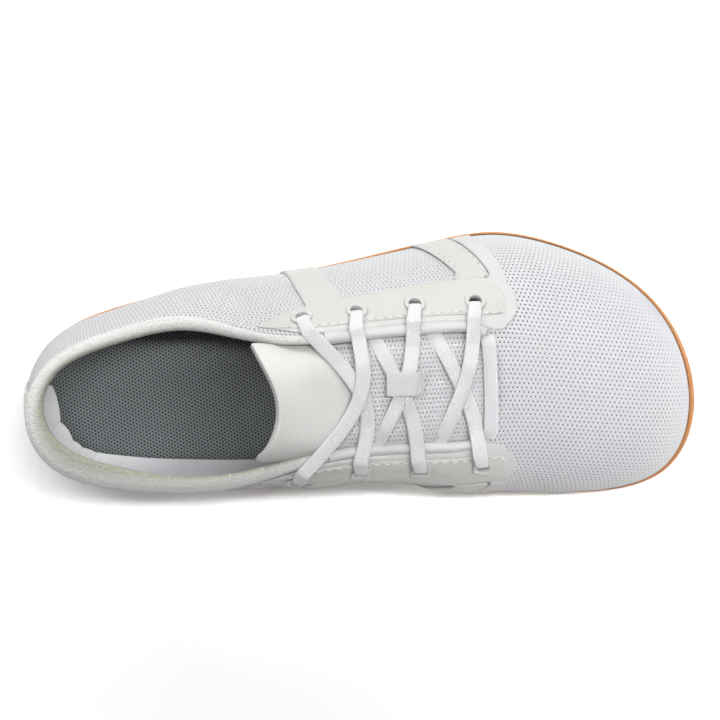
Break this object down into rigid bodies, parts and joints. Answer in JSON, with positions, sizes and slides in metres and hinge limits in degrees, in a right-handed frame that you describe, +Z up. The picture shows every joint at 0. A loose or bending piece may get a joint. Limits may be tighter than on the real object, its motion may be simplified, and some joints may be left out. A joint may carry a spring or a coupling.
{
  "type": "sneaker",
  "caption": "Low lace-up sneaker for the left foot: wide toe, hollow knitted upper, flat gum sole, padded tongue, eyestays and a flat lace.",
  "frame": {"origin": "on the floor under the middle of the shoe's bounding box", "axes": "+X from heel to toe, +Y to the outer (lateral) side, +Z up"},
  "size_m": [0.2813, 0.1117, 0.0913],
  "materials": {
    "gum_rubber": "matt gum rubber",
    "knit": "white open knit",
    "spacer_mesh": "dark grey spacer mesh",
    "tongue_cloth": "smooth cream cloth",
    "rib_knit": "cream rib knit",
    "synthetic_leather": "satin cream synthetic leather",
    "eyelet_plastic": "cream plastic",
    "lace_cloth": "white flat weave"
  },
  "bodies": {
    "root": {"outsole": "gum_rubber", "upper": "knit", "insole": "spacer_mesh", "tongue": "tongue_cloth", "collar_roll": "rib_knit", "eyestay_lateral": "synthetic_leather", "eyestay_medial": "synthetic_leather", "saddle_lateral": "synthetic_leather", "saddle_medial": "synthetic_leather", "waist_band_lateral": "synthetic_leather", "waist_band_medial": "synthetic_leather", "heel_strip": "synthetic_leather", "eyelet_lateral_1": "eyelet_plastic", "eyelet_lateral_2": "eyelet_plastic", "eyelet_lateral_3": "eyelet_plastic", "eyelet_lateral_4": "eyelet_plastic", "eyelet_medial_1": "eyelet_plastic", "eyelet_medial_2": "eyelet_plastic", "eyelet_medial_3": "eyelet_plastic", "eyelet_medial_4": "eyelet_plastic", "lace_bar": "lace_cloth", "lace_crossing_1": "lace_cloth", "lace_crossing_2": "lace_cloth", "lace_crossing_3": "lace_cloth", "lace_keeper": "rib_knit"}
  },
  "joints": []
}
